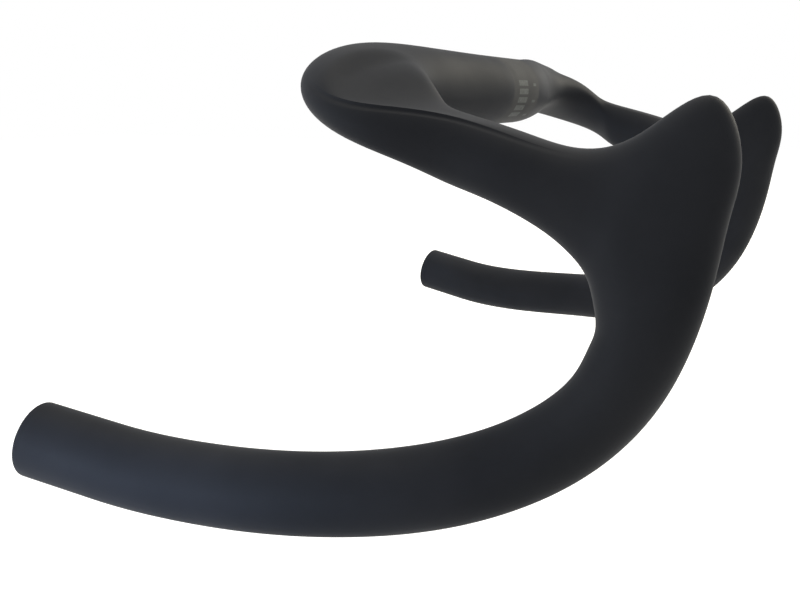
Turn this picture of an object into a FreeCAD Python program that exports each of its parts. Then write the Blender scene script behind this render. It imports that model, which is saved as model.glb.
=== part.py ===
import FreeCAD, Part
import math
import os
from collections import namedtuple

from FreeCAD import Vector

# One-piece carbon sprint handlebar, in millimetres and degrees.
# The origin is the middle of the stem clamp zone, with +X to the rider's right,
# +Y forward and +Z up. The bar is drawn for the right hand and mirrored.

# Main sizes, each from the clamp's axis or the mid plane
ARM_SPREAD = 137.0
END_SPREAD = 190.0
REACH = 126.0
DROP_DEPTH = 140.0
TAIL = 85.0

# Round zones and wall
CLAMP_DIAMETER = 31.8
CLAMP_LENGTH = 40.0
TUBE_DIAMETER = 29.4
WALL = 2.4
END_STRAIGHT = 32.0
RIM_CHAMFER = 0.6

# A rib is one cross-section of the moulding, given by its two edges in side view.
# The top edge is the upper edge on the wing and arm and the outside of the hook,
# the bottom edge is the lower edge and the inside of the hook. The heading is the
# way that the bar runs in plan, 0 to the rider's right and 90 straight ahead.
# Inner and outer are the half widths to the hand side and to the outside, and the
# belly is the height of the widest point, as a share of the rib from its bottom.
# The palm rest is a dish between two creases. They are angles round the rib, 0 at
# the hand side, 90 at the top edge and 180 at the outside.
PLAIN_CREASES = (72.0, 126.0)
NO_DISH = 0.0
Rib = namedtuple(
    "Rib",
    "spread top_forward top_up bottom_forward bottom_up heading inner outer belly"
    " inner_crease outer_crease dish",
    defaults=(*PLAIN_CREASES, NO_DISH),
)
WING = Rib(ARM_SPREAD - 65, -6.9, 17, -8.4, -11.4, 0, 15.6, 17.9, 0.5, 110, 150, NO_DISH)
WING_END = Rib(ARM_SPREAD - 24.3, -14.1, 16.4, -16.6, -11.2, 22, 16, 22.2, 0.5, 108, 148, 0.3)
CORNER = Rib(ARM_SPREAD + 4.2, 14.9, 0.5, 16.9, -24.2, 62, 13.7, 19.6, 0.5, 62, 141, 4.4)
ARM_ROOT = Rib(ARM_SPREAD, 35.5, -6.7, 29.8, -32.1, 82, 12.8, 14.8, 0.5, 66, 129, 2.9)
ARM = Rib(ARM_SPREAD, 57.3, -14.2, 44.8, -37.5, 88, 13.3, 13.4, 0.5, 70, 131, 1.9)
SADDLE = Rib(ARM_SPREAD, REACH - 46.7, -19.3, REACH - 60.7, -47.4, 90, 14.1, 12.6, 0.48, 72, 126, 0.8)
HORN_RISE = Rib(ARM_SPREAD + 1, REACH - 30.4, -13.9, REACH - 51.3, -54.3, 90, 12.9, 11.7, 0.4)
HORN_PEAK = Rib(ARM_SPREAD + 2, REACH - 9.1, -2.6, REACH - 45, -61.9, 90, 12.8, 13, 0.32)
HORN_FRONT = Rib(ARM_SPREAD + 3, REACH, -20, REACH - 42.3, -69.7, 90, 13.1, 13.5, 0.32)
BROW = Rib(ARM_SPREAD + 4, REACH - 1.8, -39.3, REACH - 41, -77.8, 90, 13.8, 14, 0.36)
HOOK_FRONT = Rib(ARM_SPREAD + 5.5, REACH - 4.4, -57.4, REACH - 42.3, -83.2, 91, 14.1, 14.4, 0.42)
HOOK_LOW = Rib(
    ARM_SPREAD + 9, REACH - 17.7, 39.9 - DROP_DEPTH, REACH - 48.1, 44.4 - DROP_DEPTH, 92, 14.2, 14.6, 0.5
)

# A tube rib is a round cross-section of the drop, given by its centre, the fall
# of the tube towards the rear and its heading.
TubeRib = namedtuple("TubeRib", "spread forward up fall heading")
HOOK_BOTTOM = TubeRib(END_SPREAD - 33.9, REACH - 70.4, 11.5 - DROP_DEPTH, 25, 97)
DROP = TubeRib(END_SPREAD - 14.1, 93.9 - TAIL, 2.4 - DROP_DEPTH, 6.3, 99)
DROP_REAR = TubeRib(END_SPREAD - 4.2, 36.2 - TAIL, -DROP_DEPTH, -3.7, 98)
DROP_END = TubeRib(END_SPREAD, -TAIL, 3.1 - DROP_DEPTH, -9.8, 97.5)

# The bore is open from the rib that is this many from the end of the drop
BORE_RIBS = 2

# Fineness of the loft: how far a straight band may cut inside the smooth line
SAG_OF_A_BAND = 0.25
POINTS_OF_AN_ARC = 4
JOIN_TOLERANCE = 0.001

MID_PLANE = Vector(0, 0, 0)
SIDEWAYS = Vector(1, 0, 0)

# The measures of every kind of rib, with the two edges as points
Section = namedtuple("Section", "top bottom heading inner outer belly creases dish")

# Angles round a rib where its outline is divided, besides the creases
HAND_SIDE = 0.0
OUTSIDE = 180.0
UNDERSIDE = 270.0
FULL_TURN = 360.0


def across(heading):
    """Level unit vector square to a heading, towards the hand side."""
    turn = math.radians(heading)
    return Vector(-math.sin(turn), math.cos(turn), 0)


def rearward(tube):
    """Unit vector along the drop tube, towards its open end."""
    fall = math.radians(tube.fall)
    heading = math.radians(tube.heading)
    level = math.cos(fall)
    return Vector(-level * math.cos(heading), -level * math.sin(heading), -math.sin(fall))


def round_section(centre, outward, radius, heading):
    """Circle about a centre, with its top edge on the outward side."""
    reach = outward * radius
    top = centre + reach
    bottom = centre - reach
    return Section(top, bottom, heading, radius, radius, 0.5, PLAIN_CREASES, NO_DISH)


def clamp_section():
    """Edge of the stem clamp zone."""
    edge = Vector(CLAMP_LENGTH / 2, 0, 0)
    return round_section(edge, Vector(0, 0, 1), CLAMP_DIAMETER / 2, 0.0)


def blade_section(rib):
    top = Vector(rib.spread, rib.top_forward, rib.top_up)
    bottom = Vector(rib.spread, rib.bottom_forward, rib.bottom_up)
    creases = (rib.inner_crease, rib.outer_crease)
    return Section(
        top, bottom, rib.heading, rib.inner, rib.outer, rib.belly, creases, rib.dish
    )


def tube_section(tube):
    """Circle of the drop tube, square to the tube."""
    outward = rearward(tube).cross(across(tube.heading))
    centre = Vector(tube.spread, tube.forward, tube.up)
    return round_section(centre, outward, TUBE_DIAMETER / 2, tube.heading)


def blade_sections():
    """Sections from the clamp zone to the front of the hook."""
    blades = [WING, WING_END, CORNER, ARM_ROOT, ARM, SADDLE]
    blades += [HORN_RISE, HORN_PEAK, HORN_FRONT, BROW, HOOK_FRONT, HOOK_LOW]
    return [clamp_section()] + [blade_section(rib) for rib in blades]


def tube_sections():
    """Sections of the drop tube, from the hook to its straight end."""
    return [tube_section(tube) for tube in (HOOK_BOTTOM, DROP, DROP_REAR, DROP_END)]


def distances(sections):
    """Distance along the bar to each section, the mean along its two edges."""
    total = 0.0
    result = [total]
    for here, there in zip(sections, sections[1:]):
        above = (there.top - here.top).Length
        below = (there.bottom - here.bottom).Length
        total += (above + below) / 2
        result.append(total)
    return result


def smooth(points, stations, start, finish):
    """Smooth curve through the points, with given directions at its two ends."""
    curve = Part.BSplineCurve()
    curve.interpolate(
        Points=points, Parameters=stations, InitialTangent=start, FinalTangent=finish
    )
    return curve


class Rails:
    """Smooth curves that carry every measure of the sections along the bar."""

    def __init__(self, sections):
        self.stations = distances(sections)
        end = rearward(DROP_END)
        self.top = self.rail([each.top for each in sections], SIDEWAYS, end)
        self.bottom = self.rail([each.bottom for each in sections], SIDEWAYS, end)
        self.widths = self.graph([(each.inner, each.outer) for each in sections])
        self.twist = self.graph([(each.heading, each.belly) for each in sections])
        self.creases = self.graph([each.creases for each in sections])
        self.depth = self.graph([(each.dish, 0.0) for each in sections])

    def rail(self, points, start, finish):
        return smooth(points, self.stations, start, finish)

    def graph(self, pairs):
        points = [Vector(at, a, b) for at, (a, b) in zip(self.stations, pairs)]
        return self.rail(points, SIDEWAYS, SIDEWAYS)

    def sag(self, here, there):
        """How far a straight band between two stations cuts inside the bar's edges."""
        sags = []
        for edge in (self.top, self.bottom):
            ends = Part.LineSegment(edge.value(here), edge.value(there)).toShape()
            middle = Part.Vertex(edge.value((here + there) / 2))
            sags.append(ends.distToShape(middle)[0])
        return max(sags)

    def steps(self, last_ribs=0):
        """Stations of the loft, all or from the last ribs on, closer in the bends."""
        result = []
        stations = self.stations[-last_ribs:]
        for here, there in zip(stations, stations[1:]):
            sag = self.sag(here, there)
            bands = max(1, math.ceil(math.sqrt(sag / SAG_OF_A_BAND)))
            result += [here + i * (there - here) / bands for i in range(bands)]
        return result + [self.stations[-1]]

    def section(self, at):
        _, inner, outer = self.widths.value(at)
        _, heading, belly = self.twist.value(at)
        _, inner_crease, outer_crease = self.creases.value(at)
        creases = (inner_crease, outer_crease)
        dish = max(self.depth.value(at).y, 0.0)
        top = self.top.value(at)
        bottom = self.bottom.value(at)
        return Section(top, bottom, heading, inner, outer, belly, creases, dish)


class Outline:
    """Outline of one section, drawn in by an inset, as points round its belly."""

    def __init__(self, section, inset):
        height = section.top - section.bottom
        self.up = Vector(height).normalize()
        level = across(section.heading)
        self.side = (level - self.up * level.dot(self.up)).normalize()
        self.centre = section.bottom + height * section.belly
        self.inner = section.inner - inset
        self.outer = section.outer - inset
        self.above = height.Length * (1 - section.belly) - inset
        self.below = height.Length * section.belly - inset
        self.creases = section.creases
        self.dish = section.dish

    def is_round(self):
        reaches = (self.inner, self.outer, self.above, self.below)
        return max(reaches) - min(reaches) < JOIN_TOLERANCE and self.dish == NO_DISH

    def depth(self, angle):
        """Depth of the palm rest, deepest half way between its creases."""
        first, last = self.creases
        share = (angle - first) / (last - first)
        return 4 * self.dish * max(share * (1 - share), 0.0)

    def point(self, angle):
        turn = math.radians(angle)
        middle = math.radians(sum(self.creases) / 2)
        depth = self.depth(angle)
        wide = self.inner if math.cos(turn) > 0 else self.outer
        high = self.above if math.sin(turn) > 0 else self.below
        aside = wide * math.cos(turn) - depth * math.cos(middle)
        rise = high * math.sin(turn) - depth * math.sin(middle)
        return self.centre + self.side * aside + self.up * rise

    def arc(self, first, last):
        """Edge of the outline between two angles."""
        if self.is_round():
            circle = Part.Circle(self.centre, self.side.cross(self.up), self.inner)
            circle.XAxis = self.side
            return circle.toShape(math.radians(first), math.radians(last))
        step = (last - first) / POINTS_OF_AN_ARC
        angles = [first + i * step for i in range(POINTS_OF_AN_ARC + 1)]
        curve = Part.BSplineCurve()
        curve.interpolate(Points=[self.point(angle) for angle in angles], Parameters=angles)
        return curve.toShape()

    def wire(self):
        """Closed wire, with the palm rest as one arc between its creases."""
        corners = [HAND_SIDE, *self.creases, OUTSIDE, UNDERSIDE, FULL_TURN]
        return Part.Wire([self.arc(a, b) for a, b in zip(corners, corners[1:])])


def outline(section, inset):
    return Outline(section, inset).wire()


def moved(section, shift):
    return section._replace(top=section.top + shift, bottom=section.bottom + shift)


def drop_end_section(length):
    """Section of the drop's straight end, at a length along it."""
    return moved(tube_section(DROP_END), rearward(DROP_END) * length)


def half_bar(rails):
    """Right half: the clamp zone from the mid plane, every rib and the straight end."""
    middle = moved(clamp_section(), SIDEWAYS * (-CLAMP_LENGTH / 2))
    wires = [outline(middle, 0.0)]
    wires += [outline(rails.section(at), 0.0) for at in rails.steps()]
    wires.append(outline(drop_end_section(END_STRAIGHT - RIM_CHAMFER), 0.0))
    wires.append(outline(drop_end_section(END_STRAIGHT), RIM_CHAMFER))
    return Part.makeLoft(wires, True, True)


def bore(rails):
    """Hollow of the drop's rear, out through its open end."""
    wires = [outline(rails.section(at), WALL) for at in rails.steps(BORE_RIBS)]
    wires.append(outline(drop_end_section(END_STRAIGHT + WALL), WALL))
    return Part.makeLoft(wires, True, True)


def mirrored(shape):
    return shape.mirror(MID_PLANE, SIDEWAYS)


def handlebar():
    rails = Rails(blade_sections() + tube_sections())
    half = half_bar(rails)
    hollow = bore(rails)
    whole = half.fuse([mirrored(half)], JOIN_TOLERANCE)
    return whole.cut([hollow, mirrored(hollow)])


os.makedirs("parts", exist_ok=True)
handlebar().exportStep("parts/handlebar.step")
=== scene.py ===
"""Looks of a one-piece aero sprint handlebar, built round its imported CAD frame."""

import logging
import math
from dataclasses import dataclass
from enum import Enum

import bpy
import numpy as np
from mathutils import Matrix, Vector


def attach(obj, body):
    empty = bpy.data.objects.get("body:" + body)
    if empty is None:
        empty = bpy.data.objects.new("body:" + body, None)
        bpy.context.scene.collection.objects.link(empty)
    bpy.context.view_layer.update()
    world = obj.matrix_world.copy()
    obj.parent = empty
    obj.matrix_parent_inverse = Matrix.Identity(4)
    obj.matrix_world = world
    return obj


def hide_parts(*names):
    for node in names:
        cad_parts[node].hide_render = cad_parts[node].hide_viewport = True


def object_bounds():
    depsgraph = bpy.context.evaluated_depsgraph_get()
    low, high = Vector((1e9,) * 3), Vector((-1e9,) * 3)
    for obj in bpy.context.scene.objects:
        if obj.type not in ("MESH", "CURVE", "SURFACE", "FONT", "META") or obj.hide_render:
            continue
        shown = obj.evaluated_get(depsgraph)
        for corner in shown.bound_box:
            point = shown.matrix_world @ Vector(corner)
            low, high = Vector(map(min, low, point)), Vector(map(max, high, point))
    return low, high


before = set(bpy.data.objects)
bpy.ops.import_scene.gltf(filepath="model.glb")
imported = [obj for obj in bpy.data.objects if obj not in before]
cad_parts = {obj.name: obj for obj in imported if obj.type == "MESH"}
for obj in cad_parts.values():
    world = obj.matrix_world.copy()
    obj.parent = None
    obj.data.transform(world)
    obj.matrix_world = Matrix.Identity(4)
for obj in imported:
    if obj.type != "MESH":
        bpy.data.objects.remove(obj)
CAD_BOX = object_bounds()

LOG = logging.getLogger("sprint_bar")
MM = 0.001
IMAGE_WIDTH = 800
WHITE = (1.0, 1.0, 1.0, 1.0)

Colour = tuple[float, float, float]
Point = tuple[float, float, float]
Socket = bpy.types.NodeSocket

# Columns of the row of measures that a rib carries along the bar
TOP = slice(0, 3)
BOTTOM = slice(3, 6)
FORM = slice(6, 12)
PALM = slice(12, 15)
SKEW = 15

# Measures of a rib with no palm rest: its creases in degrees, then dish, edge, groove and skew
PLAIN_CREASES = (72.0, 126.0)
NO_PALM = (0.0, 0.0, 0.0, 0.0)

# Belly of a round rib, and the play in millimetres when the edge of a zone is found
ROUND_BELLY = 0.5
TOLERANCE = 0.001

# Largest dish, edge and groove that the smooth run of the measures may reach
PALM_LIMITS = (10.0, 1.0, 10.0)

# Factors that make each profile across the palm rest 1 at its deepest
SOFT_PEAK = 16.0
SHARP_PEAK = 5.38
GROOVE_PEAK = 6.75


class Zone(Enum):
    """Part of the bar's surface that has a finish of its own."""

    SKIN = 0
    CLAMP = 1
    BORE = 2


@dataclass(frozen=True)
class Rib:
    """Cross-section of the moulding, in millimetres and degrees.

    The two edges are seen from the side and the heading is the way the bar runs in plan. Inner
    and outer are the half widths to the hand side and to the outside, and the belly is the
    height of the widest point, as a share of the rib. The palm rest is a shallow dish between an
    inner and an outer crease, which are angles round the rib. The edge says how sharp the outer
    crease is, from 0 to 1, and the groove runs along its outside. Where either is below 0, it
    starts further along the bar. The skew is how far the hand side is drawn along the bar, which
    fills the inside of the corner.
    """

    spread: float
    top: tuple[float, float]
    bottom: tuple[float, float]
    heading: float
    inner: float
    outer: float
    belly: float
    crease_inner: float = PLAIN_CREASES[0]
    crease_outer: float = PLAIN_CREASES[1]
    dish: float = 0.0
    edge: float = 0.0
    groove: float = 0.0
    skew: float = 0.0

    def row(self) -> list[float]:
        """Returns the measures that are carried along the bar, in one list."""
        edges = [self.spread, *self.top, self.spread, *self.bottom]
        return edges + [
            self.heading,
            self.inner,
            self.outer,
            self.belly,
            self.crease_inner,
            self.crease_outer,
            self.dish,
            self.edge,
            self.groove,
            self.skew,
        ]


@dataclass(frozen=True)
class TubeRib:
    """Round cross-section of the drop tube: its centre, its fall to the rear and its heading."""

    spread: float
    forward: float
    up: float
    fall: float
    heading: float

    def along(self) -> np.ndarray:
        """Returns the unit vector along the tube towards its open end."""
        fall = math.radians(self.fall)
        turn = math.radians(self.heading)
        level = math.cos(fall)
        return np.array([-level * math.cos(turn), -level * math.sin(turn), -math.sin(fall)])

    def row(self, radius: float) -> list[float]:
        """Lists the measures of the round section.

        Args:
            radius: Outer radius of the tube.

        Returns:
            The same measures as a rib's row.
        """
        turn = math.radians(self.heading)
        across = np.array([-math.sin(turn), math.cos(turn), 0.0])
        reach = np.cross(self.along(), across) * radius
        centre = np.array([self.spread, self.forward, self.up])
        edges = [*(centre + reach), *(centre - reach)]
        return edges + [self.heading, radius, radius, ROUND_BELLY, *PLAIN_CREASES, *NO_PALM]


def travels(rows: np.ndarray) -> tuple[np.ndarray, np.ndarray]:
    """Measures how far the two edges go from each row to the next.

    Args:
        rows: Rows of measures in their order along the bar.

    Returns:
        Distances along the top edge and along the bottom edge.
    """
    above = np.linalg.norm(np.diff(rows[:, TOP], axis=0), axis=1)
    below = np.linalg.norm(np.diff(rows[:, BOTTOM], axis=0), axis=1)
    return above, below


class SmoothLine:
    """Cubic curve through rows of measures, with a given slope at each end."""

    def __init__(
        self, at: np.ndarray, rows: np.ndarray, first: np.ndarray, last: np.ndarray
    ) -> None:
        """Solves for the slope at every row.

        Args:
            at: Distances along the bar.
            rows: One row of measures for each distance.
            first: Slope at the first row.
            last: Slope at the last row.
        """
        self.at = at
        self.rows = rows
        count = len(at)
        gaps = np.diff(at)
        system = np.zeros((count, count))
        right = np.zeros_like(rows)
        system[0, 0] = system[-1, -1] = 1.0
        right[0], right[-1] = first, last
        for i in range(1, count - 1):
            before, after = gaps[i - 1], gaps[i]
            system[i, i - 1 : i + 2] = after, 2 * (before + after), before
            rise = (rows[i + 1] - rows[i]) / after * before
            rise += (rows[i] - rows[i - 1]) / before * after
            right[i] = 3 * rise
        self.slopes = np.linalg.solve(system, right)

    def value(self, at: float) -> np.ndarray:
        """Finds the measures at a distance along the bar.

        Args:
            at: The distance, which may lie a little past either end.

        Returns:
            One row of measures.
        """
        i = int(np.clip(np.searchsorted(self.at, at) - 1, 0, len(self.at) - 2))
        gap = self.at[i + 1] - self.at[i]
        t = (at - self.at[i]) / gap
        start = (1 - t) ** 2 * ((1 + 2 * t) * self.rows[i] + t * gap * self.slopes[i])
        end = t**2 * ((3 - 2 * t) * self.rows[i + 1] + (t - 1) * gap * self.slopes[i + 1])
        return start + end


class Nodes:
    """Small helper that adds and joins shader nodes in one tree."""

    NOISE_DARK = 0.3
    NOISE_LIGHT = 0.7

    def __init__(self, tree: bpy.types.NodeTree) -> None:
        """Keeps the tree that the nodes go into."""
        self.tree = tree

    def add(self, kind: str, **settings: object) -> bpy.types.Node:
        """Adds a node.

        Args:
            kind: Blender's type name of the node.
            settings: Attributes to set on it.

        Returns:
            The new node.
        """
        node = self.tree.nodes.new(kind)
        for name, value in settings.items():
            setattr(node, name, value)
        return node

    def join(self, source: Socket, target: Socket) -> None:
        """Links one socket to another."""
        self.tree.links.new(source, target)

    def feed(self, value: object, target: Socket) -> None:
        """Links a socket, or sets a plain value.

        Args:
            value: Socket, number or colour.
            target: Socket that takes it.
        """
        if isinstance(value, Socket):
            self.join(value, target)
        elif isinstance(value, tuple):
            target.default_value = (*value, 1.0)
        else:
            target.default_value = value

    def math(self, operation: str, *inputs: float | Socket) -> Socket:
        """Adds a math node.

        Args:
            operation: Blender's name of the operation.
            inputs: Numbers or sockets, in order.

        Returns:
            The node's output socket.
        """
        node = self.add("ShaderNodeMath", operation=operation)
        for socket, value in zip(node.inputs, inputs):
            self.feed(value, socket)
        return node.outputs[0]

    def noise(self, place: Socket, scale: float | Socket, detail: float) -> Socket:
        """Adds a noise texture.

        Args:
            place: Socket with the coordinates.
            scale: Size of the pattern, in cycles per metre.
            detail: Number of finer layers.

        Returns:
            The noise's value.
        """
        node = self.add("ShaderNodeTexNoise")
        node.inputs["Detail"].default_value = detail
        self.feed(scale, node.inputs["Scale"])
        self.join(place, node.inputs["Vector"])
        return node.outputs[0]

    def spread(self, noise: Socket, low: float, high: float) -> Socket:
        """Maps noise to a range of values.

        Args:
            noise: Socket with the noise.
            low: Result for dark noise.
            high: Result for light noise.

        Returns:
            The mapped value.
        """
        node = self.add("ShaderNodeMapRange")
        node.inputs["From Min"].default_value = self.NOISE_DARK
        node.inputs["From Max"].default_value = self.NOISE_LIGHT
        node.inputs["To Min"].default_value = low
        node.inputs["To Max"].default_value = high
        self.join(noise, node.inputs["Value"])
        return node.outputs[0]

    def mix(self, mask: Socket, low: Colour | Socket, high: Colour | Socket) -> Socket:
        """Mixes two colours by a mask.

        Args:
            mask: Share of the second colour.
            low: First colour, linear.
            high: Second colour, linear.

        Returns:
            The mixed colour.
        """
        node = self.add("ShaderNodeMix", data_type="RGBA")
        self.feed(mask, node.inputs["Factor"])
        self.feed(low, node.inputs["A"])
        self.feed(high, node.inputs["B"])
        return node.outputs["Result"]


class MouldGrain:
    """Shader group for the fine matte grain that the mould leaves on carbon composite."""

    NAME = "mould_grain"
    FINE_SCALE = 2600.0
    FINE_DETAIL = 2.0
    CLOUD_SCALE = 24.0
    CLOUD_DETAIL = 4.0
    SWELL_SCALE = 160.0
    SWELL_DETAIL = 2.0
    SWELL_SHARE = 0.8

    @classmethod
    def tree(cls) -> bpy.types.NodeTree:
        """Builds the group on first use.

        Returns:
            The group, with a slow cloud and the height of the grain as its outputs.
        """
        found = bpy.data.node_groups.get(cls.NAME)
        if found:
            return found
        tree = bpy.data.node_groups.new(cls.NAME, "ShaderNodeTree")
        face = tree.interface
        face.new_socket("Place", in_out="INPUT", socket_type="NodeSocketVector")
        fine = face.new_socket("Fine", in_out="INPUT", socket_type="NodeSocketFloat")
        fine.default_value = cls.FINE_SCALE
        face.new_socket("Cloud", in_out="OUTPUT", socket_type="NodeSocketFloat")
        face.new_socket("Height", in_out="OUTPUT", socket_type="NodeSocketFloat")
        nodes = Nodes(tree)
        source = nodes.add("NodeGroupInput")
        result = nodes.add("NodeGroupOutput")
        place = source.outputs["Place"]
        cloud = nodes.noise(place, cls.CLOUD_SCALE, cls.CLOUD_DETAIL)
        grain = nodes.noise(place, source.outputs["Fine"], cls.FINE_DETAIL)
        swell = nodes.noise(place, cls.SWELL_SCALE, cls.SWELL_DETAIL)
        height = nodes.math("ADD", grain, nodes.math("MULTIPLY", swell, cls.SWELL_SHARE))
        nodes.join(cloud, result.inputs["Cloud"])
        nodes.join(height, result.inputs["Height"])
        return tree


@dataclass(frozen=True)
class CarbonFinish:
    """Finish of moulded carbon composite: two near blacks, a roughness range and a grain."""

    name: str
    dark: Colour
    light: Colour
    smooth: float
    rough: float
    gloss: float
    grain_scale: float
    grain_depth: float
    bump_strength: float = 0.6

    def material(self) -> bpy.types.Material:
        """Builds the material, with its base, roughness and bump from the grain group.

        Returns:
            The new material.
        """
        material = bpy.data.materials.new(self.name)
        material.use_nodes = True
        nodes = Nodes(material.node_tree)
        shader = material.node_tree.nodes["Principled BSDF"]
        place = nodes.add("ShaderNodeTexCoord").outputs["Object"]
        grain = nodes.add("ShaderNodeGroup", node_tree=MouldGrain.tree())
        grain.inputs["Fine"].default_value = self.grain_scale
        nodes.join(place, grain.inputs["Place"])
        cloud = grain.outputs["Cloud"]
        colour = nodes.mix(nodes.spread(cloud, 0.0, 1.0), self.dark, self.light)
        nodes.join(self.printed(nodes, place, colour), shader.inputs["Base Color"])
        nodes.join(nodes.spread(cloud, self.rough, self.smooth), shader.inputs["Roughness"])
        bump = nodes.add("ShaderNodeBump")
        bump.inputs["Strength"].default_value = self.bump_strength
        bump.inputs["Distance"].default_value = self.grain_depth
        nodes.join(grain.outputs["Height"], bump.inputs["Height"])
        nodes.join(bump.outputs["Normal"], shader.inputs["Normal"])
        shader.inputs["Specular IOR Level"].default_value = self.gloss
        return material

    def printed(self, nodes: Nodes, place: Socket, colour: Socket) -> Socket:
        """Returns the colour with anything printed on it: plain carbon has nothing."""
        return colour


@dataclass(frozen=True)
class ClampFinish(CarbonFinish):
    """Gritty finish of the stem clamp zone, with plain alignment marks on its front."""

    print_colour: Colour = (0.10, 0.11, 0.11)
    lowest_dash: float = -50.0
    dash_pitch: float = 14.5
    dash_share: float = 0.66
    dash_count: int = 5
    dash_middle: float = 5.0 * MM
    dash_length: float = 14.0 * MM
    tick_every: int = 2
    tick_share: float = 0.165
    tick_middle: float = -13.0 * MM
    tick_length: float = 5.0 * MM
    wear_scale: float = 700.0
    wear_detail: float = 4.0
    wear_least: float = 0.35

    def printed(self, nodes: Nodes, place: Socket, colour: Socket) -> Socket:
        """Adds a column of dashes and a short tick beside every second one.

        Args:
            nodes: Helper of the material's tree.
            place: Object coordinates.
            colour: Colour of the bare zone.

        Returns:
            The colour with the print on it.
        """
        split = nodes.add("ShaderNodeSeparateXYZ")
        nodes.join(place, split.inputs[0])
        sideways = split.outputs["X"]
        angle = nodes.math("ARCTAN2", split.outputs["Z"], split.outputs["Y"])
        above = nodes.math("SUBTRACT", angle, math.radians(self.lowest_dash))
        turns = nodes.math("DIVIDE", above, math.radians(self.dash_pitch))
        inside = nodes.math("COMPARE", turns, self.dash_count / 2, self.dash_count / 2)
        dash = nodes.math("LESS_THAN", nodes.math("FRACT", turns), self.dash_share)
        dash_wide = nodes.math("COMPARE", sideways, self.dash_middle, self.dash_length / 2)
        column = nodes.math("MULTIPLY", dash, dash_wide)
        second = nodes.math("FRACT", nodes.math("DIVIDE", turns, self.tick_every))
        tick = nodes.math("LESS_THAN", second, self.tick_share)
        tick_wide = nodes.math("COMPARE", sideways, self.tick_middle, self.tick_length / 2)
        ticks = nodes.math("MULTIPLY", tick, tick_wide)
        marks = nodes.math("MULTIPLY", nodes.math("MAXIMUM", column, ticks), inside)
        wear = nodes.noise(place, self.wear_scale, self.wear_detail)
        left = nodes.spread(wear, self.wear_least, 1.0)
        return nodes.mix(nodes.math("MULTIPLY", marks, left), colour, self.print_colour)


FINISHES = {
    Zone.SKIN: CarbonFinish(
        name="matte_carbon_skin",
        dark=(0.0195, 0.0210, 0.0252),
        light=(0.0250, 0.0266, 0.0315),
        smooth=0.54,
        rough=0.64,
        gloss=0.06,
        grain_scale=2600.0,
        grain_depth=0.03 * MM,
    ),
    Zone.CLAMP: ClampFinish(
        name="gritty_clamp_zone",
        dark=(0.017, 0.018, 0.020),
        light=(0.031, 0.032, 0.034),
        smooth=0.70,
        rough=0.85,
        gloss=0.25,
        grain_scale=1500.0,
        grain_depth=0.12 * MM,
    ),
    Zone.BORE: CarbonFinish(
        name="raw_carbon_bore",
        dark=(0.012, 0.012, 0.013),
        light=(0.022, 0.022, 0.023),
        smooth=0.50,
        rough=0.70,
        gloss=0.30,
        grain_scale=900.0,
        grain_depth=0.10 * MM,
    ),
}


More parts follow.
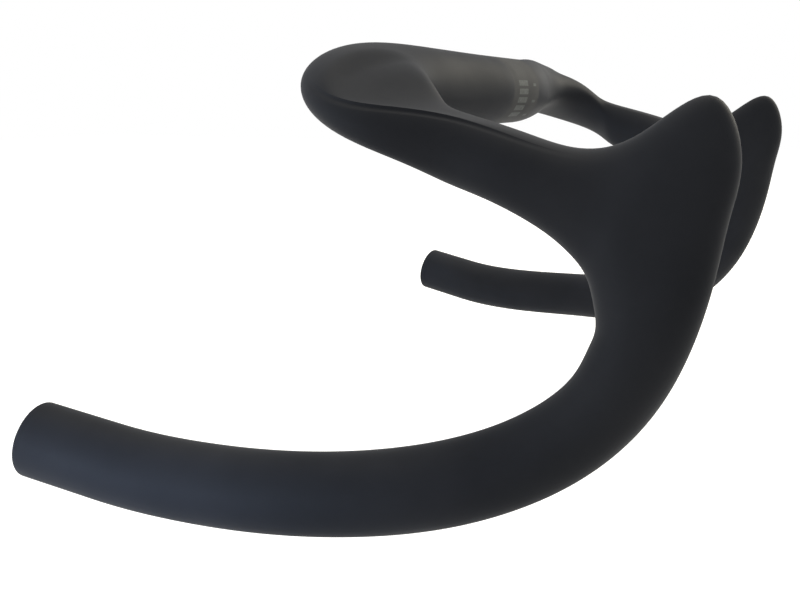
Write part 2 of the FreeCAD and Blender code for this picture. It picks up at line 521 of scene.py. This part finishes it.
@dataclass
class SprintBar:
    """The one-piece bar: clamp zone, wing, corners, arms, horns, hooks and drops.

    The ribs run from the edge of the clamp zone to the drop end on the rider's right. Lengths
    are in millimetres and the left half is the mirror image.
    """

    clamp_diameter: float = 31.8
    clamp_length: float = 40.0
    tube_diameter: float = 29.4
    wall: float = 2.4
    end_straight: float = 32.0
    rim_radius: float = 0.8
    rim_chamfer: float = 0.3
    bore_lip: float = 1.0

    wing: Rib = Rib(
        spread=72,
        top=(-6.9, 17.4),
        bottom=(-8.4, -11.4),
        heading=0,
        inner=16,
        outer=17.9,
        belly=0.32,
        crease_inner=60,
        crease_outer=150,
    )
    wing_end: Rib = Rib(
        spread=112.7,
        top=(-14.1, 16.4),
        bottom=(-16.6, -11.2),
        heading=22,
        inner=25.5,
        outer=22.2,
        belly=0.5,
        crease_inner=38,
        crease_outer=148,
        dish=2.4,
        edge=-0.6,
        groove=-0.3,
        skew=-2,
    )
    corner: Rib = Rib(
        spread=141.2,
        top=(14.9, 0.5),
        bottom=(16.9, -24.2),
        heading=62,
        inner=20.5,
        outer=19.6,
        belly=0.5,
        crease_inner=34,
        crease_outer=144,
        dish=3.8,
        edge=1,
        groove=0.7,
    )
    arm_root: Rib = Rib(
        spread=137,
        top=(35.5, -6.7),
        bottom=(29.8, -32.1),
        heading=82,
        inner=14.2,
        outer=14.8,
        belly=0.5,
        crease_inner=48,
        crease_outer=127,
        dish=2.2,
        edge=0.9,
        groove=0.6,
    )
    arm: Rib = Rib(
        spread=137,
        top=(57.3, -14.2),
        bottom=(44.8, -37.5),
        heading=88,
        inner=13.3,
        outer=13.4,
        belly=0.5,
        crease_inner=62,
        crease_outer=121,
        dish=0.6,
        edge=0.4,
        groove=0.25,
    )
    saddle: Rib = Rib(
        spread=137,
        top=(79.3, -19.3),
        bottom=(65.3, -47.4),
        heading=90,
        inner=14.1,
        outer=12.6,
        belly=0.48,
        crease_outer=118,
    )
    horn_rise: Rib = Rib(
        spread=138,
        top=(95.6, -13.9),
        bottom=(74.7, -54.3),
        heading=90,
        inner=12.9,
        outer=11.7,
        belly=0.4,
    )
    horn_peak: Rib = Rib(
        spread=139,
        top=(116.9, -2.6),
        bottom=(81, -61.9),
        heading=90,
        inner=12.8,
        outer=13,
        belly=0.32,
    )
    horn_front: Rib = Rib(
        spread=140,
        top=(126, -20),
        bottom=(83.7, -69.7),
        heading=90,
        inner=13.1,
        outer=13.5,
        belly=0.32,
    )
    brow: Rib = Rib(
        spread=141,
        top=(124.2, -39.3),
        bottom=(85, -77.8),
        heading=90,
        inner=13.8,
        outer=14,
        belly=0.36,
    )
    hook_front: Rib = Rib(
        spread=142.5,
        top=(121.6, -57.4),
        bottom=(83.7, -83.2),
        heading=91,
        inner=14.1,
        outer=14.4,
        belly=0.42,
    )
    hook_low: Rib = Rib(
        spread=146,
        top=(108.3, -100.1),
        bottom=(77.9, -95.6),
        heading=92,
        inner=14.2,
        outer=14.6,
        belly=0.5,
    )
    hook_bottom: TubeRib = TubeRib(spread=156.1, forward=55.6, up=-128.5, fall=25, heading=97)
    drop: TubeRib = TubeRib(spread=175.9, forward=8.9, up=-137.6, fall=6.3, heading=99)
    drop_rear: TubeRib = TubeRib(spread=185.8, forward=-48.8, up=-140, fall=-3.7, heading=98)
    drop_end: TubeRib = TubeRib(spread=190, forward=-85, up=-136.9, fall=-9.8, heading=97.5)

    # The palm rest starts on a line that slants from the hand side to the outside
    palm_start: float = 86.0
    palm_slant: float = 34.0
    palm_ramp: float = 12.0
    groove_turn: float = 13.0

    # Fineness of the mesh
    step: float = 2.2
    inner_step: float = 9.0
    half_probe: float = 0.5
    travel_samples: int = 2000
    clamp_rings: int = 6
    end_rings: int = 8
    rim_rings: int = 4
    bore_rings: int = 6
    dish_points: int = 30
    groove_points: int = 10
    round_points: int = 52

    def clamp_edge(self) -> Rib:
        """Returns the round rib at the edge of the clamp zone, with the wing's creases."""
        radius = self.clamp_diameter / 2
        return Rib(
            spread=self.clamp_length / 2,
            top=(0, radius),
            bottom=(0, -radius),
            heading=0,
            inner=radius,
            outer=radius,
            belly=ROUND_BELLY,
            crease_inner=self.wing.crease_inner,
            crease_outer=self.wing.crease_outer,
        )

    def measures(self) -> SmoothLine:
        """Runs every rib measure smoothly from the clamp zone to the drop end.

        Returns:
            The curve, straight across at the clamp zone and along the tube at the end.
        """
        blades = [self.clamp_edge(), self.wing, self.wing_end, self.corner]
        blades += [self.arm_root, self.arm, self.saddle]
        blades += [self.horn_rise, self.horn_peak, self.horn_front]
        blades += [self.brow, self.hook_front, self.hook_low]
        tubes = [self.hook_bottom, self.drop, self.drop_rear, self.drop_end]
        rows = [rib.row() for rib in blades]
        rows += [tube.row(self.tube_diameter / 2) for tube in tubes]
        table = np.array(rows, float)
        above, below = travels(table)
        at = np.concatenate([[0.0], np.cumsum((above + below) / 2)])
        first = np.zeros(table.shape[1])
        first[TOP] = first[BOTTOM] = 1.0, 0.0, 0.0
        last = np.zeros(table.shape[1])
        last[TOP] = last[BOTTOM] = self.drop_end.along()
        return SmoothLine(at, table, first, last)

    def stops(self, line: SmoothLine) -> np.ndarray:
        """Spaces the outer rings evenly by whichever edge of the bar travels further.

        Args:
            line: Smooth run of the measures.

        Returns:
            Distances along the bar.
        """
        fine = np.linspace(0.0, line.at[-1], self.travel_samples)
        above, below = travels(np.array([line.value(at) for at in fine]))
        travel = np.concatenate([[0.0], np.cumsum(np.maximum(above, below))])
        even = np.linspace(0.0, travel[-1], int(travel[-1] / self.step))
        return np.interp(even, travel, fine)

    def over_dish(self) -> np.ndarray:
        """Returns the places of the points across the dish, from 0 to 1 and closer at its ends."""
        return (1 - np.cos(math.pi * np.arange(self.dish_points) / self.dish_points)) / 2

    def over_groove(self) -> np.ndarray:
        """Returns the places of the points across the groove, from 0 to 1."""
        return np.arange(self.groove_points) / self.groove_points

    def angles(self, crease_inner: float, crease_outer: float) -> np.ndarray:
        """Spaces the points round a rib: over the dish, over the groove and round the rest.

        Args:
            crease_inner: Angle of the inner crease, in degrees.
            crease_outer: Angle of the outer crease, in degrees.

        Returns:
            Angles in radians, from the hand side over the top.
        """
        over_rest = np.arange(self.round_points) / self.round_points
        bank = crease_outer + self.groove_turn
        dish = crease_inner + (crease_outer - crease_inner) * self.over_dish()
        groove = crease_outer + self.groove_turn * self.over_groove()
        rest = bank + (360 + crease_inner - bank) * over_rest
        return np.radians(np.concatenate([dish, groove, rest]))

    def sunk(self, depth: np.ndarray, edge: float) -> np.ndarray:
        """Works out how far the dish lowers each point round a rib.

        Args:
            depth: Depth of the dish for each of its points.
            edge: Sharpness of the outer crease, from 0 to 1.

        Returns:
            Depths in millimetres.
        """
        over = self.over_dish()
        soft = SOFT_PEAK * over**2 * (1 - over) ** 2
        sharp = SHARP_PEAK * over**1.5 * (1 - over)
        dish = depth * (soft + (sharp - soft) * edge)
        return np.concatenate([dish, np.zeros(self.groove_points + self.round_points)])

    def grooved(self, groove: float) -> np.ndarray:
        """Works out how far the groove draws each point in towards the rib's middle.

        Args:
            groove: Depth of the groove.

        Returns:
            Depths in millimetres.
        """
        over = self.over_groove()
        cut = groove * GROOVE_PEAK * over * (1 - over) ** 2
        return np.concatenate([np.zeros(self.dish_points), cut, np.zeros(self.round_points)])

    def ring_at(self, line: SmoothLine, at: float, inset: float) -> np.ndarray:
        """Places the points of the section at a distance along the bar.

        Args:
            line: Smooth run of the measures.
            at: Distance along the bar.
            inset: How far the outline is drawn in.

        Returns:
            Points round the section, in millimetres.
        """
        start = self.palm_start + self.palm_slant * self.over_dish()
        share = np.clip((at - start) / self.palm_ramp, 0.0, 1.0)
        reached = share * share * (3 - 2 * share)
        ahead = line.value(at + self.half_probe) - line.value(at - self.half_probe)
        along = ahead[TOP] + ahead[BOTTOM]
        along = along / np.linalg.norm(along)
        return self.ring(line.value(at), inset, np.zeros(3), along, reached)

    def ring(
        self,
        row: np.ndarray,
        inset: float,
        shift: np.ndarray,
        along: np.ndarray,
        reached: np.ndarray | float = 0.0,
    ) -> np.ndarray:
        """Places the points of one cross-section.

        Args:
            row: Measures of the section.
            inset: How far the outline is drawn in.
            shift: Offset of the whole section.
            along: Unit vector along the bar, for the skew of the hand side.
            reached: Share of the dish's depth that is reached at each of its points.

        Returns:
            Points round the section, in millimetres.
        """
        top, bottom = row[TOP], row[BOTTOM]
        heading, inner, outer, belly, crease_inner, crease_outer = row[FORM]
        dish, edge, groove = np.clip(row[PALM], 0.0, PALM_LIMITS)
        height = np.linalg.norm(top - bottom)
        up = (top - bottom) / height
        turn = math.radians(heading)
        side = np.array([-math.sin(turn), math.cos(turn), 0.0])
        side = side - up * side.dot(up)
        side = side / np.linalg.norm(side)
        angle = self.angles(crease_inner, crease_outer)
        c, s = np.cos(angle), np.sin(angle)
        cut = self.grooved(groove)
        sunk = self.sunk(dish * reached, edge)
        middle = math.radians((crease_inner + crease_outer) / 2)
        width = np.where(c > 0, inner, outer) - inset
        reach = height * np.where(s > 0, 1 - belly, belly) - inset
        across = (width - cut) * c - sunk * math.cos(middle)
        rise = (reach - cut) * s - sunk * math.sin(middle)
        drawn = row[SKEW] * np.maximum(c, 0.0)
        centre = bottom + (top - bottom) * belly + shift
        return centre + np.outer(across, side) + np.outer(rise, up) + np.outer(drawn, along)

    def outer_rings(self, line: SmoothLine) -> list[np.ndarray]:
        """Places the outer rings of the right half.

        Args:
            line: Smooth run of the measures.

        Returns:
            Rings from the middle of the clamp zone to the face of the right rim.
        """
        along = self.drop_end.along()
        start, end = line.rows[0], line.rows[-1]
        half = self.clamp_length / 2
        straight = self.end_straight - self.rim_radius
        rings = []
        for x in np.linspace(0.0, half, self.clamp_rings, endpoint=False):
            rings.append(self.ring(start, 0.0, np.array([x - half, 0.0, 0.0]), along))
        for at in self.stops(line):
            rings.append(self.ring_at(line, at, 0.0))
        for length in np.linspace(0.0, straight, self.end_rings + 1)[1:]:
            rings.append(self.ring(end, 0.0, along * length, along))
        for turn in np.linspace(0.0, math.pi / 2, self.rim_rings + 1)[1:]:
            inset = self.rim_radius * (1 - math.cos(turn))
            length = straight + self.rim_radius * math.sin(turn)
            rings.append(self.ring(end, inset, along * length, along))
        return rings

    def inner_rings(self, line: SmoothLine) -> list[np.ndarray]:
        """Places the inner rings of the right half.

        Args:
            line: Smooth run of the measures.

        Returns:
            Rings from the face of the right rim back to the middle of the clamp zone.
        """
        along = self.drop_end.along()
        start, end = line.rows[0], line.rows[-1]
        face = self.end_straight
        chamfer = self.rim_chamfer
        rings = [
            self.ring(end, self.wall - chamfer, along * face, along),
            self.ring(end, self.wall, along * (face - chamfer), along),
        ]
        for length in np.linspace(face - self.bore_lip, 0.0, self.bore_rings, endpoint=False):
            rings.append(self.ring(end, self.wall, along * length, along))
        for at in np.linspace(line.at[-1], 0.0, int(line.at[-1] / self.inner_step)):
            rings.append(self.ring_at(line, at, self.wall))
        middle = np.array([-self.clamp_length / 2, 0.0, 0.0])
        rings.append(self.ring(start, self.wall, middle, along))
        return rings

    def build(self) -> bpy.types.Object:
        """Builds the bar as one closed mesh.

        Returns:
            The new object, with a zone for each face.
        """
        line = self.measures()
        outer, inner = self.outer_rings(line), self.inner_rings(line)
        flip = np.array([-1.0, 1.0, 1.0])
        loop = [ring * flip for ring in reversed(outer[1:])] + outer + inner
        loop += [ring * flip for ring in reversed(inner[:-1])]
        count = len(loop[0])
        first_inner = 2 * len(outer) - 1
        clamp_reach = self.clamp_length / 2 + TOLERANCE
        faces = []
        zones = []
        for i in range(len(loop)):
            j = (i + 1) % len(loop)
            wide = max(abs(loop[i][:, 0].mean()), abs(loop[j][:, 0].mean()))
            zone = Zone.CLAMP if wide < clamp_reach else Zone.SKIN
            if i >= first_inner:
                zone = Zone.BORE
            for k in range(count):
                n = (k + 1) % count
                faces.append((i * count + k, i * count + n, j * count + n, j * count + k))
                zones.append(zone.value)
        mesh = bpy.data.meshes.new("sprint_bar")
        mesh.from_pydata((np.concatenate(loop) * MM).tolist(), [], faces)
        mesh.polygons.foreach_set("material_index", zones)
        mesh.polygons.foreach_set("use_smooth", [True] * len(faces))
        mesh.update()
        bar = bpy.data.objects.new("sprint_bar", mesh)
        bpy.context.scene.collection.objects.link(bar)
        return bar

    def dress(self, bar: bpy.types.Object) -> None:
        """Gives each zone its finish and puts the bar on the frame.

        Args:
            bar: Object from build.
        """
        for zone in Zone:
            bar.data.materials.append(FINISHES[zone].material())
        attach(bar, "root")
        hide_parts("handlebar")


@dataclass(frozen=True)
class SoftLamp:
    """Square area lamp, in metres, watts and degrees of spread."""

    name: str
    place: Point
    size: float
    power: float
    colour: Colour
    aim: Point = (0.05, 0.0, -0.03)
    spread: float = 180.0

    def add(self) -> None:
        """Adds the lamp to the scene, facing its aim."""
        data = bpy.data.lights.new(self.name, "AREA")
        data.shape = "SQUARE"
        data.size = self.size
        data.energy = self.power
        data.color = self.colour
        data.spread = math.radians(self.spread)
        lamp = bpy.data.objects.new(self.name, data)
        lamp.location = self.place
        way = Vector(self.aim) - Vector(self.place)
        lamp.rotation_euler = way.to_track_quat("-Z", "Y").to_euler()
        bpy.context.scene.collection.objects.link(lamp)


LAMPS = [
    SoftLamp(
        name="window",
        place=(-1.1, 0.8, 0.75),
        size=0.9,
        power=20.0,
        colour=(1.0, 0.94, 0.78),
    ),
    SoftLamp(
        name="overhead",
        place=(-0.1, -0.2, 1.5),
        size=1.2,
        power=11.0,
        colour=(1.0, 0.94, 0.80),
    ),
    SoftLamp(
        name="rear_fill",
        place=(0.42, -0.42, -0.05),
        size=0.3,
        power=1.0,
        colour=(0.80, 0.88, 1.0),
        aim=(0.16, -0.03, -0.05),
    ),
    SoftLamp(
        name="low_box",
        place=(0.80, -0.14, -0.165),
        size=0.1,
        power=0.11,
        colour=(0.56, 0.72, 1.0),
        aim=(0.19, -0.07, -0.180),
        spread=23.0,
    ),
]


@dataclass(frozen=True)
class Studio:
    """Pale floor, soft lamps, white surroundings and the camera, in metres and degrees."""

    eye: Point = (0.4315, 0.1473, -0.0028)
    azimuth: float = 114.80
    pitch: float = -12.73
    focal_pixels: float = 898.8
    sensor_width: float = 36.0
    near_limit: float = 0.01
    floor_drop: float = 0.03
    floor_size: float = 6.0
    floor_grey: float = 0.68
    floor_roughness: float = 0.9
    floor_glow: float = 0.76
    ambient: float = 0.38

    def build(self) -> None:
        """Builds the whole studio."""
        self.camera()
        self.floor()
        for lamp in LAMPS:
            lamp.add()
        self.world()
        bpy.context.scene.view_settings.view_transform = "Standard"

    def camera(self) -> None:
        """Adds the camera at the photograph's viewing angle."""
        data = bpy.data.cameras.new("camera")
        data.sensor_fit = "HORIZONTAL"
        data.sensor_width = self.sensor_width
        data.lens = self.focal_pixels * self.sensor_width / IMAGE_WIDTH
        data.clip_start = self.near_limit
        camera = bpy.data.objects.new("camera", data)
        turn, tilt = math.radians(self.azimuth), math.radians(self.pitch)
        look = Vector((-math.sin(turn), math.cos(turn), 0.0)) * math.cos(tilt)
        look.z = math.sin(tilt)
        camera.location = self.eye
        camera.rotation_euler = look.to_track_quat("-Z", "Y").to_euler()
        bpy.context.scene.collection.objects.link(camera)
        bpy.context.scene.camera = camera

    def floor(self) -> None:
        """Adds the pale floor, which keeps the bar's shadow."""
        size = self.floor_size / 2
        low = CAD_BOX[0][2] - self.floor_drop
        corners = [(-size, -size, low), (size, -size, low), (size, size, low), (-size, size, low)]
        mesh = bpy.data.meshes.new("floor")
        mesh.from_pydata(corners, [], [(0, 1, 2, 3)])
        floor = bpy.data.objects.new("floor", mesh)
        bpy.context.scene.collection.objects.link(floor)
        material = bpy.data.materials.new("pale_floor")
        material.use_nodes = True
        nodes = Nodes(material.node_tree)
        shader = material.node_tree.nodes["Principled BSDF"]
        shader.inputs["Base Color"].default_value = (*[self.floor_grey] * 3, 1.0)
        shader.inputs["Roughness"].default_value = self.floor_roughness
        shader.inputs["Specular IOR Level"].default_value = 0.0
        shader.inputs["Emission Color"].default_value = WHITE
        glow = nodes.math("MULTIPLY", self.seen(nodes), self.floor_glow)
        nodes.join(glow, shader.inputs["Emission Strength"])
        mesh.materials.append(material)

    def seen(self, nodes: Nodes) -> Socket:
        """Marks what the camera sees itself, in a reflection or through something.

        Args:
            nodes: Helper of the tree that the mark is for.

        Returns:
            Socket that is 1 for such light and 0 for all other.
        """
        path = nodes.add("ShaderNodeLightPath")
        direct = path.outputs["Is Camera Ray"]
        mirrored = nodes.math("MAXIMUM", direct, path.outputs["Is Glossy Ray"])
        return nodes.math("MAXIMUM", mirrored, path.outputs["Is Transmission Ray"])

    def world(self) -> None:
        """Sets white surroundings for the camera and reflections, and a plain soft light."""
        world = bpy.data.worlds.new("surroundings")
        bpy.context.scene.world = world
        world.use_nodes = True
        nodes = Nodes(world.node_tree)
        back = world.node_tree.nodes["Background"]
        back.inputs["Color"].default_value = WHITE
        strength = nodes.math("MAXIMUM", self.seen(nodes), self.ambient)
        nodes.join(strength, back.inputs["Strength"])


def main() -> None:
    """Builds the bar and the studio in order."""
    logging.basicConfig(level=logging.INFO)
    bar_maker = SprintBar()
    bar = bar_maker.build()
    bar_maker.dress(bar)
    LOG.info("%s: %d faces", bar.name, len(bar.data.polygons))
    Studio().build()
    LOG.info("studio ready")


if __name__ == "__main__":
    main()
